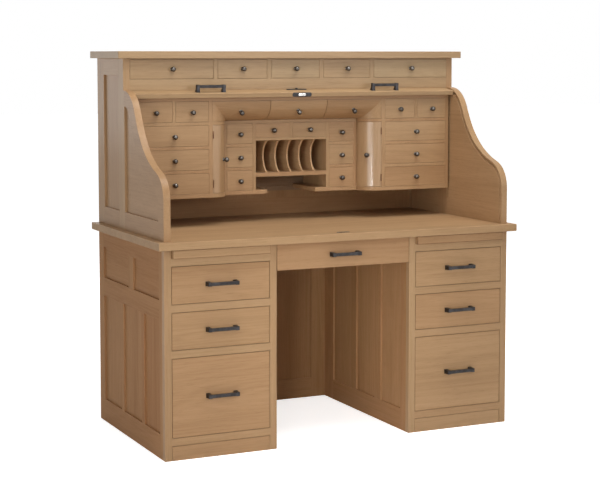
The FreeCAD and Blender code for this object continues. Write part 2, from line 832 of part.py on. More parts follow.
def door():
    """Quarter-round door on two knuckles at its outer edge, with a knob half way round."""
    low = row_floor(0) + small_gap
    high = row_floor(3) - unit_board - small_gap
    shell = quarter_plan(x_door, quarter_radius, low, high).cut(
        quarter_plan(x_door, quarter_radius - door_thickness, low, high))
    shell = shell.common(board(x_door + door_gap, x_recess, unit_front, recess - door_gap, low, high))
    axis = V(x_door + hinge_radius, unit_front - hinge_radius, 0)
    knuckles = [Part.makeCylinder(hinge_radius, hinge_height, axis + V(0, 0, z))
                for z in (low + hinge_inset, high - hinge_inset - hinge_height)]
    grip = placed(knob(), V(0, -quarter_radius, 0), 90)
    for solid in grip:
        solid.rotate(V(0, 0, 0), V(0, 0, 1), 45)
        solid.translate(V(x_door, recess, (low + high) / 2 - knob_drop))
    return [shell] + knuckles + grip


curve_centre_z = unit_ceiling - small_gap - (row_height - 2 * small_gap - quarter_radius)


def curved_front(x0, x1):
    """Drawer front whose face turns under in a quarter round."""
    centre = V(x0, recess, curve_centre_z)
    low = V(x0, recess, curve_centre_z - quarter_radius)
    face = V(x0, unit_front, curve_centre_z)
    top = unit_ceiling - small_gap
    diagonal = quarter_radius / math.sqrt(2)
    edges = [arc(low, centre + V(0, -diagonal, -diagonal), face), line(face, V(x0, unit_front, top)),
             line(V(x0, unit_front, top), V(x0, recess, top)), line(V(x0, recess, top), low)]
    return plate(edges, V(x1 - x0, 0, 0))


def curved_knob(x):
    angle = math.radians(curved_knob_angle)
    at = V(x, recess - quarter_radius * math.cos(angle), curve_centre_z - quarter_radius * math.sin(angle))
    return placed(knob(), at, 90 + curved_knob_angle)


def curved_box(x0, x1):
    """Box of a curved drawer, which runs on the shelf behind the recess."""
    return drawer_box(x0, x1, recess, unit_inner_back - small_side, row_floor(3) + run_clearance,
                      unit_ceiling - small_side, small_side, small_bottom)


def corner_drawer():
    """Left curved drawer: its front is mitred to an upright quarter round that carries on the door below."""
    start = x_door + door_gap
    end = -third / 2 - front_split / 2
    low = row_floor(3) + small_gap
    top = unit_ceiling - small_gap
    level_part = curved_front(start, end)
    upright_part = quarter_plan(x_door, quarter_radius, low, curve_centre_z)
    upright_part = upright_part.common(board(start, x_recess, unit_front, recess, low, top))
    corner = [V(x_door, 0, curve_centre_z), V(x_recess, 0, curve_centre_z - quarter_radius),
              V(x_recess, 0, unit_bottom), V(x_block, 0, unit_bottom), V(x_block, 0, curve_centre_z)]
    below_mitre = plate(loop(corner), V(0, base_depth, 0))
    box = curved_box(x_door + small_gap, -third / 2 - unit_board / 2 - small_gap)
    return ([level_part.cut(below_mitre), upright_part.common(below_mitre)] + box
            + curved_knob((x_door - third / 2) / 2))


def middle_drawer():
    edge = third / 2 - front_split / 2
    inner = third / 2 - unit_board / 2 - small_gap
    return [curved_front(-edge, edge)] + curved_box(-inner, inner) + curved_knob(0)


def desk_top():
    """Writing board, and the lock's strike plate on it."""
    writing_board = board(-half - desk_side_overhang, half + desk_side_overhang, -desk_front_overhang,
                          base_depth + back_overhang, under_desk, writing_height)
    return [writing_board] + strike_plate()


def top_board():
    return [board(-half - top_side_overhang, half + top_side_overhang, hutch_setback - top_front_overhang,
                  base_depth + back_overhang, under_top, total_height)]


# Write every piece
os.makedirs("parts", exist_ok=True)
save_pair("pedestal_sides", pedestal_sides())
save_pair("pedestal_carcass", pedestal_carcass())
save_pair("pedestal_drawer_1", pedestal_drawer(drawer_1_floor, drawer_opening))
save_pair("pedestal_drawer_2", pedestal_drawer(drawer_2_floor, drawer_opening))
save_pair("file_drawer", pedestal_drawer(file_floor, file_opening))
save_pair("writing_slide", writing_slide())
save("kneehole_frame", kneehole())
save("kneehole_drawer", kneehole_drawer())
save("desk_top", desk_top())
save_pair("hutch_side", hutch_side())
save("hutch_back", hutch_back())
save("top_case", top_case())
save("top_board", top_board())
for index in range(len(top_widths)):
    save("top_drawer_%d" % (index + 1), top_drawer(index))
save("lift_rail", lift_rail())
for index, count in enumerate(strip_counts):
    save("tambour_strip_%d" % (index + 1), curtain_strip(sum(strip_counts[:index]), count))
save("pigeonhole_case", pigeonhole_case())
save("letter_dividers", letter_dividers())
save_pair("small_drawer_1", block_drawer(x_small, x_small + small_opening, 3))
save_pair("small_drawer_2", block_drawer(x_small + small_opening + unit_board, x_block, 3))
for number, row in ((1, 2), (2, 1), (3, 0)):
    save_pair("wide_drawer_%d" % number, block_drawer(x_small, x_block, row))
    save_pair("column_drawer_%d" % number, column_drawer(row))
save_pair("bay_drawer", bay_drawer())
save_pair("door", door())
save_pair("curved_drawer", corner_drawer())
save("middle_curved_drawer", middle_drawer())
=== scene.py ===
"""A roll-top desk in light brown lacquered wood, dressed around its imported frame."""

import math
import random

import bmesh
import bpy
from mathutils import Matrix, Vector
from mathutils.bvhtree import BVHTree


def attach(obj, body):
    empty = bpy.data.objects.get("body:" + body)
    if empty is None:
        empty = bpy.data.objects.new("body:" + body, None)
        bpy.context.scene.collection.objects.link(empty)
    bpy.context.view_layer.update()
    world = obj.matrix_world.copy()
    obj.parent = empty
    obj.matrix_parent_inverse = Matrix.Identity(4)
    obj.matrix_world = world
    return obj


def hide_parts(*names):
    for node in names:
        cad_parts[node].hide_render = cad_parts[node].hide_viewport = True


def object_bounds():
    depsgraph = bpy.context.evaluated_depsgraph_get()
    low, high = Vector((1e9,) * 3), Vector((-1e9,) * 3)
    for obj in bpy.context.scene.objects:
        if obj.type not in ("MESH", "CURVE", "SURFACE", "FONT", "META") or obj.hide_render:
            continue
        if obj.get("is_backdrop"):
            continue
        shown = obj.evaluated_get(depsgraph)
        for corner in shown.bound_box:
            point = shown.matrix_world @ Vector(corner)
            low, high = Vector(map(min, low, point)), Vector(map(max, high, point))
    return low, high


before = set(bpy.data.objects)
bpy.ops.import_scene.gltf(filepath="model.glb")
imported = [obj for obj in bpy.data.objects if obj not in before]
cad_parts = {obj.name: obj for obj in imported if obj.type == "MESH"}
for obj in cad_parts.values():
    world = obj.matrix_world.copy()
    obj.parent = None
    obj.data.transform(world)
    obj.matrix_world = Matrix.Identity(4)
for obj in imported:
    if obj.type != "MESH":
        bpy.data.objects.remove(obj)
cad_low, cad_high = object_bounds()

# Pedestal walls. Each pedestal stands between an outer and an inner wall of solid stiles and rails, with
# flat panels held in their grooves. The wood has a light brown stain under a satin lacquer, and its
# arrises are eased by a touch of abrasive paper.
SIDES = ("left", "right")
ALONG_X, ALONG_Y, ALONG_Z = 0, 1, 2
GRAIN_FIRST = {ALONG_X: (0, 1, 2), ALONG_Y: (1, 0, 2), ALONG_Z: (2, 0, 1)}
FLAT_WITHIN = math.radians(0.4)
SHARP_FROM = math.radians(32)
SMOOTH_WITHIN = math.radians(28)
WALL_EASE = 0.0005
EASED_FACE = 1.6
JOINT_REACH = 0.00015
JOINT_SHARE = 0.12
STAIN_DARK = (0.295, 0.160, 0.073, 1.0)
STAIN_MIDDLE = (0.415, 0.245, 0.123, 1.0)
STAIN_LIGHT = (0.495, 0.305, 0.163, 1.0)
WORN_EDGE = (0.560, 0.360, 0.200, 1.0)
# Brown of the pores, also used as painted shade along the eased edges in the gaps between parts.
PORE_AND_GAP_SHADE_BROWN = (0.200, 0.098, 0.040, 1.0)
PORE_SHARE = 0.36
BOARD_HUE, BOARD_DEPTH, BOARD_VALUE = (0.497, 0.503), (1.03, 0.98), (0.965, 1.03)
WARM_HUE, WARM_DEPTH = 0.011, 0.11
WOOD_ROUGH, PORE_ROUGH = (0.52, 0.40), 0.12
FIGURE_SCALE, RING_COUNT, RING_DEPTH = (0.8, 7.0), 92.0, 0.11
BAND_SCALE, BAND_DEPTH = (0.5, 16.0), 0.55
FIBRE_SCALE, FIBRE_RELIEF = (3.0, 170.0), 0.6
PORE_SCALE = (26.0, 900.0)
RUB_SCALE = (22.0, 60.0)
KNOT_SCALE = (1.3, 4.2, 4.2)
KNOT_PULL, KNOT_DARK = 0.22, 0.30
GRAIN_RELIEF = (0.16, 0.0003)
PLANK_SHIFT = 9.0
timber = random.Random(11)


def solids_in(node):
    """The separate solids of a node, in order, as corner points and faces: each is a run that closes."""
    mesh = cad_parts[node].data
    solids = []
    corners, faces, unpaired = {}, [], set()
    for polygon in mesh.polygons:
        places = [tuple(round(c, 6) for c in mesh.vertices[i].co) for i in polygon.vertices]
        if len(set(places)) < len(places):
            continue
        ring = [corners.setdefault(place, len(corners)) for place in places]
        faces.append(ring)
        for start, end in zip(ring, ring[1:] + ring[:1]):
            if (end, start) in unpaired:
                unpaired.remove((end, start))
            else:
                unpaired.add((start, end))
        if not unpaired:
            solids.append(([Vector(c) for c in corners], faces))
            corners, faces = {}, []
    return solids


def box_of(points):
    """Lowest and highest corner of some points."""
    low = Vector([min(p[axis] for p in points) for axis in range(3)])
    high = Vector([max(p[axis] for p in points) for axis in range(3)])
    return low, high


def pick(piece):
    """Makes one piece the only selected and active object."""
    bpy.ops.object.select_all(action="DESELECT")
    piece.select_set(True)
    bpy.context.view_layer.objects.active = piece


def apply_modifier(piece, kind, **settings):
    """Adds one modifier with its settings and applies it to the mesh."""
    modifier = piece.modifiers.new(kind.lower(), kind)
    for name, value in settings.items():
        setattr(modifier, name, value)
    pick(piece)
    bpy.ops.object.modifier_apply(modifier=modifier.name)


def write_attribute(mesh, name, kind, domain, values):
    """Stores one value for each point, edge or face of a mesh."""
    layer = mesh.attributes.new(name, kind, domain)
    for item, value in zip(layer.data, values):
        if kind == "FLOAT_VECTOR":
            item.vector = value
        else:
            item.value = value


def copied_boards(name, solids, numbers):
    """A new piece of copies of some solids, flat faces merged, each point holding its solid's number."""
    points, faces, owner = [], [], []
    for number in numbers:
        corners, rings = solids[number]
        faces += [[len(points) + i for i in ring] for ring in rings]
        points += corners
        owner += [number] * len(corners)
    mesh = bpy.data.meshes.new(name)
    mesh.from_pydata(points, [], faces)
    write_attribute(mesh, "owner", "INT", "POINT", owner)
    piece = bpy.data.objects.new(name, mesh)
    bpy.context.scene.collection.objects.link(piece)
    pick(piece)
    bpy.ops.object.mode_set(mode="EDIT")
    bpy.ops.mesh.select_all(action="SELECT")
    bpy.ops.mesh.dissolve_limited(angle_limit=FLAT_WITHIN)
    bpy.ops.object.mode_set(mode="OBJECT")
    return piece


def eased_share(mesh, shells):
    """How far each edge is eased: in full where it is open, a trace where it meets another board."""
    form = bmesh.new()
    form.from_mesh(mesh)
    owner = form.verts.layers.int["owner"]
    shares = []
    for edge in form.edges:
        if len(edge.link_faces) != 2 or edge.calc_face_angle() < SHARP_FROM:
            shares.append(0.0)
            continue
        start, end = (vertex.co for vertex in edge.verts)
        places = [start.lerp(end, step) for step in (0.25, 0.5, 0.75)]
        others = [shell for number, shell in enumerate(shells) if number != edge.verts[0][owner]]
        meets = any(shell.find_nearest(place, JOINT_REACH)[0] for shell in others for place in places)
        shares.append(JOINT_SHARE if meets else 1.0)
    form.free()
    return shares


def eased_faces(mesh, ease):
    """One for each of the narrow faces that the easing made, and nought for the rest."""
    marks = []
    for polygon in mesh.polygons:
        corners = [mesh.vertices[i].co for i in polygon.vertices]
        longest = max((a - b).length for a, b in zip(corners, corners[1:] + corners[:1]))
        marks.append(1.0 if polygon.area < EASED_FACE * ease * longest else 0.0)
    return marks


def grain_axis(solid, number, grain):
    """The axis of a board's grain: the one given for all, its own in a dict, or else its longest side."""
    if isinstance(grain, int):
        return grain
    low, high = box_of(solid[0])
    size = list(high - low)
    return (grain or {}).get(number, size.index(max(size)))


def lacquered_boards(name, node, boards=None, ease=WALL_EASE, grain=None, matched=()):
    """A copy of a node's wooden boards: merged, edges eased, each board with its own grain and tone.
    boards numbers the solids that are wood; grain gives an axis for all, or a dict by board number;
    matched numbers boards that are sawn from one plank, so that their grain runs on."""
    solids = solids_in(node)
    numbers = [number for number in range(len(solids)) if boards is None or number in boards]
    along = {number: grain_axis(solids[number], number, grain) for number in numbers}
    plank = {number: matched[0] if number in matched else number for number in numbers}
    piece = copied_boards(name, solids, numbers)
    shells = [BVHTree.FromPolygons(*solid) for solid in solids]
    write_attribute(piece.data, "bevel_weight_edge", "FLOAT", "EDGE", eased_share(piece.data, shells))
    apply_modifier(piece, "BEVEL", width=ease, segments=2, limit_method="WEIGHT")
    drawn = {}
    for number in plank.values():
        shift = Vector([timber.uniform(-PLANK_SHIFT, PLANK_SHIFT) for _ in range(3)])
        drawn.setdefault(number, (shift, timber.random()))
    mesh = piece.data
    owners = [item.value for item in mesh.attributes["owner"].data]
    grains, tones = [], []
    for vertex, number in zip(mesh.vertices, owners):
        shift, tone = drawn[plank[number]]
        grains.append(Vector([vertex.co[axis] for axis in GRAIN_FIRST[along[number]]]) + shift)
        tones.append(tone)
    write_attribute(mesh, "grain", "FLOAT_VECTOR", "POINT", grains)
    write_attribute(mesh, "tone", "FLOAT", "POINT", tones)
    write_attribute(mesh, "edge", "FLOAT", "FACE", eased_faces(mesh, ease))
    mesh.attributes.remove(mesh.attributes["owner"])
    pick(piece)
    bpy.ops.object.shade_smooth_by_angle(angle=SMOOTH_WITHIN)
    apply_modifier(piece, "WEIGHTED_NORMAL", weight=100, keep_sharp=True)
    return piece


def node_in(tree, kind, sockets=None, **settings):
    """A shader node with its settings; each socket takes a value or the socket that feeds it."""
    made = tree.nodes.new(kind)
    for name, value in settings.items():
        setattr(made, name, value)
    for name, value in (sockets or {}).items():
        if isinstance(value, bpy.types.NodeSocket):
            tree.links.new(value, made.inputs[name])
        else:
            made.inputs[name].default_value = value
    return made


def arithmetic(tree, operation, first, second=0.0, clamp=False):
    """The result of one sum on two values or sockets."""
    made = node_in(tree, "ShaderNodeMath", {0: first, 1: second}, operation=operation, use_clamp=clamp)
    return made.outputs[0]


def blended(tree, factor, first, second):
    """Two colours mixed by a factor."""
    made = node_in(tree, "ShaderNodeMix", {0: factor, 6: first, 7: second}, data_type="RGBA")
    return made.outputs[2]


def ranged(tree, value, low, high, to_low=0.0, to_high=1.0):
    """A value carried from one range to another, held at the ends."""
    made = node_in(tree, "ShaderNodeMapRange", {0: value, 1: low, 2: high, 3: to_low, 4: to_high})
    return made.outputs[0]


def noise_along(tree, grain, scale, detail, roughness=0.5, distortion=0.0):
    """Noise drawn out along the grain: the scale is in features a metre along and across."""
    drawn = node_in(tree, "ShaderNodeMapping", {"Vector": grain, "Scale": (scale[0], scale[1], scale[1])})
    noise = node_in(tree, "ShaderNodeTexNoise", {
        "Vector": drawn.outputs[0], "Scale": 1.0, "Detail": detail, "Roughness": roughness,
        "Distortion": distortion})
    return noise.outputs["Fac"]


def board_grain():
    """The figure of a sawn board: growth rings as drawn-out contours, fibre streaks, pores and edges."""
    group = bpy.data.node_groups.new("board_grain", "ShaderNodeTree")
    for name in ("Rings", "Streaks", "Wear"):
        group.interface.new_socket(name, in_out="INPUT", socket_type="NodeSocketFloat")
    for name in ("Tone", "Pores", "Worn", "Edge", "Height"):
        group.interface.new_socket(name, in_out="OUTPUT", socket_type="NodeSocketFloat")
    given = group.nodes.new("NodeGroupInput")
    result = group.nodes.new("NodeGroupOutput")
    grain = node_in(group, "ShaderNodeAttribute", attribute_name="grain").outputs["Vector"]
    spots = node_in(group, "ShaderNodeMapping", {"Vector": grain, "Scale": KNOT_SCALE})
    spots = node_in(group, "ShaderNodeTexVoronoi", {"Vector": spots.outputs[0], "Scale": 1.0})
    chosen = node_in(group, "ShaderNodeSeparateColor", {0: spots.outputs["Color"]}).outputs[0]
    chosen = ranged(group, chosen, 0.62, 0.66)
    knot = arithmetic(group, "MULTIPLY", ranged(group, spots.outputs["Distance"], 0.11, 0.01), chosen)
    figure = noise_along(group, grain, FIGURE_SCALE, 2.0, 0.45, 0.35)
    figure = arithmetic(group, "ADD", figure, arithmetic(group, "MULTIPLY", knot, KNOT_PULL))
    rings = arithmetic(group, "SINE", arithmetic(group, "MULTIPLY", figure, RING_COUNT))
    rings = arithmetic(group, "MULTIPLY", rings, given.outputs["Rings"])
    bands = arithmetic(group, "SUBTRACT", noise_along(group, grain, BAND_SCALE, 1.0), 0.5)
    fibre = arithmetic(group, "SUBTRACT", noise_along(group, grain, FIBRE_SCALE, 4.0, 0.65), 0.5)
    fibre = arithmetic(group, "MULTIPLY", fibre, given.outputs["Streaks"])
    tone = arithmetic(group, "ADD", arithmetic(group, "MULTIPLY", rings, RING_DEPTH), 0.5)
    tone = arithmetic(group, "ADD", tone, arithmetic(group, "MULTIPLY", bands, BAND_DEPTH))
    tone = arithmetic(group, "SUBTRACT", tone, arithmetic(group, "MULTIPLY", knot, KNOT_DARK))
    tone = arithmetic(group, "ADD", tone, fibre, clamp=True)
    pores = ranged(group, noise_along(group, grain, PORE_SCALE, 1.0), 0.60, 0.74)
    edge = node_in(group, "ShaderNodeAttribute", attribute_name="edge").outputs["Fac"]
    rubbed = ranged(group, noise_along(group, grain, RUB_SCALE, 2.0), 0.38, 0.62)
    worn = arithmetic(group, "MULTIPLY", arithmetic(group, "MULTIPLY", edge, rubbed), given.outputs["Wear"])
    height = arithmetic(group, "SUBTRACT", arithmetic(group, "MULTIPLY", fibre, FIBRE_RELIEF), pores)
    results = {"Tone": tone, "Pores": pores, "Worn": worn, "Edge": edge, "Height": height}
    for name, value in results.items():
        group.links.new(value, result.inputs[name])
    return group


grain_of_boards = board_grain()


def new_finish(name):
    """A new material, with its node tree and its surface shader."""
    finish = bpy.data.materials.new(name)
    finish.use_nodes = True
    return finish, finish.node_tree, finish.node_tree.nodes["Principled BSDF"]


def relief(tree, surface, height, strength, distance):
    """Gives a surface the fine relief of a height, up to a distance in metres."""
    bump = node_in(tree, "ShaderNodeBump", {"Height": height, "Strength": strength, "Distance": distance})
    tree.links.new(bump.outputs[0], surface.inputs["Normal"])


def lacquered_wood(name, rings=0.4, streaks=0.62, lacquer=0.4, satin=0.30, wear=0.7, gap_shade=0.0, pale=1.0,
                   warm=0.0, index=1.45):
    """Stained and lacquered wood, darker in the pores, its edges rubbed paler by wear or darkened with
    painted shade that deepens the gaps round drawers and slides; pale lightens the whole, and warm leans it
    to red or, below nought, to straw. lacquer is the coat's weight, satin its roughness and index its
    refraction."""
    finish, tree, surface = new_finish(name)
    board = node_in(tree, "ShaderNodeGroup", node_tree=grain_of_boards)
    board.inputs["Rings"].default_value = rings
    board.inputs["Streaks"].default_value = streaks
    board.inputs["Wear"].default_value = wear
    ramp = node_in(tree, "ShaderNodeValToRGB", {0: board.outputs["Tone"]})
    ramp.color_ramp.elements[0].color = STAIN_DARK
    ramp.color_ramp.elements[1].color = STAIN_LIGHT
    ramp.color_ramp.elements.new(0.5).color = STAIN_MIDDLE
    tone = node_in(tree, "ShaderNodeAttribute", attribute_name="tone").outputs["Fac"]
    tinted = node_in(tree, "ShaderNodeHueSaturation", {
        "Hue": ranged(tree, tone, 0.0, 1.0, *(hue - WARM_HUE * warm for hue in BOARD_HUE)),
        "Saturation": ranged(tree, tone, 0.0, 1.0, *(depth + WARM_DEPTH * warm for depth in BOARD_DEPTH)),
        "Value": ranged(tree, tone, 0.0, 1.0, *(value * pale for value in BOARD_VALUE)),
        "Color": ramp.outputs[0]})
    in_pores = arithmetic(tree, "MULTIPLY", board.outputs["Pores"], PORE_SHARE)
    # Painted shade: the eased edge faces are darkened towards brown, deepening the gaps between parts.
    shaded_gaps = arithmetic(tree, "MULTIPLY", board.outputs["Edge"], gap_shade)
    colour = blended(tree, in_pores, tinted.outputs[0], PORE_AND_GAP_SHADE_BROWN)
    colour = blended(tree, shaded_gaps, colour, PORE_AND_GAP_SHADE_BROWN)
    colour = blended(tree, board.outputs["Worn"], colour, WORN_EDGE)
    tree.links.new(colour, surface.inputs["Base Color"])
    surface.inputs["Specular IOR Level"].default_value = 0.0
    surface.inputs["Coat Weight"].default_value = lacquer
    surface.inputs["Coat Roughness"].default_value = satin
    surface.inputs["Coat IOR"].default_value = index
    rough = ranged(tree, board.outputs["Tone"], 0.0, 1.0, *WOOD_ROUGH)
    rough = arithmetic(tree, "ADD", rough, arithmetic(tree, "MULTIPLY", board.outputs["Pores"], PORE_ROUGH))
    tree.links.new(rough, surface.inputs["Roughness"])
    relief(tree, surface, board.outputs["Height"], *GRAIN_RELIEF)
    return finish


def finish_piece(piece, material, body, slot, *nodes):
    """Gives a piece its material, its body and the nodes that it stands for; slot is not used."""
    piece.data.materials.clear()
    piece.data.materials.append(material)
    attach(piece, body)
    if nodes:
        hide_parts(*nodes)


# The walls stand mostly in shade, and their copy of the wood is leaned to red as painted shade.
wall_wood = lacquered_wood("wall_wood", lacquer=0.10, warm=0.6)
for side in SIDES:
    walls = lacquered_boards(side + "_pedestal_walls", side + "_pedestal_sides")
    finish_piece(walls, wall_wood, "desk", "case_wood", side + "_pedestal_sides")

# Pedestal carcasses. A face frame of stiles and rails is glued to the front of the walls, with the runners,
# guides and dust boards of the drawers behind it, a plinth below and a thin back let into grooves.
case_wood = lacquered_wood("case_wood", wear=0.4, warm=-0.2)
for side in SIDES:
    carcass = lacquered_boards(side + "_pedestal_frame", side + "_pedestal_carcass")
    finish_piece(carcass, case_wood, "desk", "case_wood", side + "_pedestal_carcass")

# Kneehole frame. The panelled back of the kneehole, its skirting board and the cleats of the middle drawer
# join the two pedestals. Same wood with less lacquer, leaned a little to red as painted shade for the dim
# kneehole.
kneehole_wood = lacquered_wood("kneehole_wood", lacquer=0.12, wear=0.4, warm=0.15)
kneehole = lacquered_boards("kneehole_panels", "kneehole_frame")
finish_piece(kneehole, kneehole_wood, "desk", "case_wood", "kneehole_frame")

# Writing slides. Each is a wide wooden board above the top drawer that draws out on battens, its front edge
# a little proud of the case so that fingers can take it from below.
SLIDE_EASE = 0.0020
# Strong painted shade along the eased edges deepens the gaps round the base drawers and the writing slides.
drawer_wood = lacquered_wood("drawer_wood", rings=0.55, wear=0.1, gap_shade=0.9)
for side in SIDES:
    node = side + "_writing_slide"
    slide = lacquered_boards(node + "_board", node, ease=SLIDE_EASE, grain=ALONG_X)
    finish_piece(slide, drawer_wood, node + "_body", "drawer_wood", node)

# Drawers of the base. Each is a solid front on a box of two sides, a back and a thin bottom in plain pale
# wood without stain, and it fills its opening with a fine gap all round.
BASE_DRAWERS = [side + kind for side in SIDES for kind in
                ("_pedestal_drawer_1", "_pedestal_drawer_2", "_file_drawer")] + ["kneehole_drawer"]
DRAWER_EASE = 0.0010
BOX_BOARDS = 4
box_wood = lacquered_wood("box_wood", lacquer=0.1, wear=0.0, pale=1.2, warm=-1.3)


def drawer(node, wood, ease, fronts=1):
    """A drawer's stained front boards and, as a piece of its own, its box; gives back its fittings."""
    front = lacquered_boards(node + "_front", node, range(fronts), ease)
    finish_piece(front, wood, node + "_body", "drawer_wood", node)
    box = lacquered_boards(node + "_box", node, range(fronts, fronts + BOX_BOARDS), ease)
    finish_piece(box, box_wood, node + "_body", "drawer_wood")
    return solids_in(node)[fronts + BOX_BOARDS:]


base_fittings = {node: drawer(node, drawer_wood, DRAWER_EASE) for node in BASE_DRAWERS}

# Bar pulls of the base drawers. A flat bar between two square posts with spread feet, cast in one piece and
# blackened, with a trace of rubbed grey. Each is screwed through the drawer front from behind.
POST_INNER, POST_OUTER = 0.0450, 0.0575
POST_HALF = 0.0068
POST_OUT = 0.0275
FOOT_OUT = 0.0100
FOOT_PLATE = 0.0015
FOOT_SPREAD = 1.22
BAR_INSET = 0.0011
BAR_DEEP = 0.0098
PULL_EASE = 0.0013
PULL_SMOOTH = math.radians(40)
MERGED_WITHIN = 0.00001
BLACK_PATINA = (0.034, 0.031, 0.031, 1.0)
BLACK_RUBBED = (0.070, 0.067, 0.070, 1.0)
PATCH_SCALE, PATCH_ROUGH = 60.0, (0.08, -0.06)
CAST_SCALE, CAST_RELIEF = 900.0, (0.12, 0.0002)


def shaped_faces(piece, wanted):
    """Selects, in edit mode, the faces whose centre and normal pass a test."""
    form = bmesh.from_edit_mesh(piece.data)
    form.normal_update()
    for face in form.faces:
        face.select_set(False)
    for face in form.faces:
        if wanted(face.calc_center_median(), face.normal):
            face.select_set(True)
    form.select_flush_mode()
    bmesh.update_edit_mesh(piece.data)


def drawn_out(step, scale=(1.0, 1.0, 1.0), about=(0.0, 0.0, 0.0)):
    """Extrudes the selected faces by a step, then scales them about a point."""
    bpy.ops.mesh.extrude_region_move(TRANSFORM_OT_translate={"value": step})
    bpy.ops.transform.resize(value=scale, center_override=about)


def block_start(name, low, high):
    """A block between two corners, selected and in edit mode, as the start of a shaped piece."""
    bpy.ops.object.select_all(action="DESELECT")
    middle = [(a + b) / 2 for a, b in zip(low, high)]
    bpy.ops.mesh.primitive_cube_add(size=1.0, location=middle, scale=[b - a for a, b in zip(low, high)])
    piece = bpy.context.active_object
    piece.name = name
    piece.data.name = name
    bpy.ops.object.transform_apply(location=True, rotation=True, scale=True)
    bpy.ops.object.mode_set(mode="EDIT")
    bpy.ops.mesh.select_mode(type="FACE")
    return piece


def smoothed(piece, ease, segments=2, angle=30):
    """Leaves edit mode, rounds the edges that turn by more than the angle and smooths the shading."""
    bpy.ops.object.mode_set(mode="OBJECT")
    apply_modifier(piece, "BEVEL", width=ease, segments=segments, limit_method="ANGLE",
                   angle_limit=math.radians(angle))
    bpy.ops.object.mode_set(mode="EDIT")
    bpy.ops.mesh.select_all(action="SELECT")
    bpy.ops.mesh.remove_doubles(threshold=MERGED_WITHIN)
    bpy.ops.mesh.normals_make_consistent(inside=False)
    bpy.ops.object.mode_set(mode="OBJECT")
    bpy.ops.object.shade_smooth_by_angle(angle=PULL_SMOOTH)


def mirrored(piece):
    """Takes away the face on the mirror plane and mirrors the half across it."""
    shaped_faces(piece, lambda centre, normal: abs(centre.x) < MERGED_WITHIN)
    bpy.ops.mesh.delete(type="FACE")
    bpy.ops.object.mode_set(mode="OBJECT")
    apply_modifier(piece, "MIRROR", use_axis=(True, False, False), merge_threshold=MERGED_WITHIN)
    bpy.ops.object.mode_set(mode="EDIT")


def bar_pull():
    """A post is drawn up, half the bar is drawn out of its side, and both are mirrored: X along the bar,
    Z out of the wood."""
    piece = block_start("bar_pull", (POST_INNER, -POST_HALF, FOOT_OUT), (POST_OUTER, POST_HALF, POST_OUT))
    shaped_faces(piece, lambda centre, normal: normal.z < -0.9)
    foot = ((POST_INNER + POST_OUTER) / 2, 0, 0)
    drawn_out((0, 0, FOOT_PLATE - FOOT_OUT), (FOOT_SPREAD, FOOT_SPREAD, 1), foot)
    drawn_out((0, 0, -FOOT_PLATE))
    shaped_faces(piece, lambda centre, normal: normal.x < -0.9 and centre.z > FOOT_OUT)
    bpy.ops.mesh.inset(thickness=BAR_INSET)
    top = POST_OUT - BAR_INSET
    bottom = FOOT_OUT + BAR_INSET
    bpy.ops.transform.resize(value=(1, 1, BAR_DEEP / (top - bottom)), center_override=(POST_INNER, 0, top))
    drawn_out((-POST_INNER, 0, 0))
    mirrored(piece)
    smoothed(piece, PULL_EASE, segments=3)
    return piece


def aged_metal(name, base, rubbed, roughness, rub, metallic=1.0):
    """Cast or turned metal: a dark patina, rubbed paler in patches, with a fine cast texture. rub is the
    range of the patches' noise over which the patina gives way."""
    finish, tree, surface = new_finish(name)
    place = node_in(tree, "ShaderNodeTexCoord").outputs["Object"]
    patches = node_in(tree, "ShaderNodeTexNoise", {
        "Vector": place, "Scale": PATCH_SCALE, "Detail": 2.0, "Roughness": 0.5}).outputs["Fac"]
    cast = node_in(tree, "ShaderNodeTexNoise", {
        "Vector": place, "Scale": CAST_SCALE, "Detail": 2.0}).outputs["Fac"]
    tree.links.new(blended(tree, ranged(tree, patches, *rub), base, rubbed), surface.inputs["Base Color"])
    rough = ranged(tree, patches, 0.3, 0.7, *(roughness + more for more in PATCH_ROUGH))
    tree.links.new(rough, surface.inputs["Roughness"])
    surface.inputs["Metallic"].default_value = metallic
    relief(tree, surface, cast, *CAST_RELIEF)
    return finish


def fitting_place(fittings):
    """Where a fitting meets the wood, and its way out: from its posts or neck to its bar or ball."""
    feet = [p for corners, _ in fittings[:-1] for p in corners]
    boxes = [box_of(corners) for corners, _ in fittings]
    middles = [(low + high) / 2 for low, high in boxes]
    start = sum(middles[:-1], Vector()) / len(middles[:-1])
    out = (middles[-1] - start).normalized()
    return start + out * min((p - start).dot(out) for p in feet), out


def fitted_copy(pattern, name, base, out, along=(1, 0, 0)):
    """A copy of a modelled fitting with its own mesh, standing at a place and facing a way."""
    out = Vector(out).normalized()
    across = Vector(along)
    across = (across - out * across.dot(out)).normalized()
    upright = out.cross(across)
    turn = Matrix((across, upright, out)).transposed().to_4x4()
    piece = bpy.data.objects.new(name, pattern.data.copy())
    piece.data.name = name
    piece.data.transform(Matrix.Translation(base) @ turn)
    bpy.context.scene.collection.objects.link(piece)
    return piece


black_steel = aged_metal("black_steel", BLACK_PATINA, BLACK_RUBBED, 0.36, (0.40, 0.80), metallic=0.92)
pull_pattern = bar_pull()
for node, fittings in base_fittings.items():
    pull = fitted_copy(pull_pattern, node + "_pull", *fitting_place(fittings))
    finish_piece(pull, black_steel, node + "_body", "dark_metal")

# Desk top. A thick writing board of jointed planks overhangs the pedestals, and the strike plate of the
# curtain's lock is let into it near the front edge.
BOARD_EASE = 0.0016
STRIKE_ROUND = 0.006
SLOT_RIM = 0.0008
SLOT_SHARE = (0.62, 0.36, 1.0)
SLOT_SUNK = 0.6
STRIKE_EASE = 0.00015
UPRIGHT_WITHIN = 0.000001
ROUND_SEGMENTS = 5
top_wood = lacquered_wood("top_wood", rings=0.35, lacquer=0.3, warm=-0.3)
top = lacquered_boards("writing_board", "desk_top", [0], BOARD_EASE, ALONG_X)
finish_piece(top, top_wood, "desk", "case_wood", "desk_top")


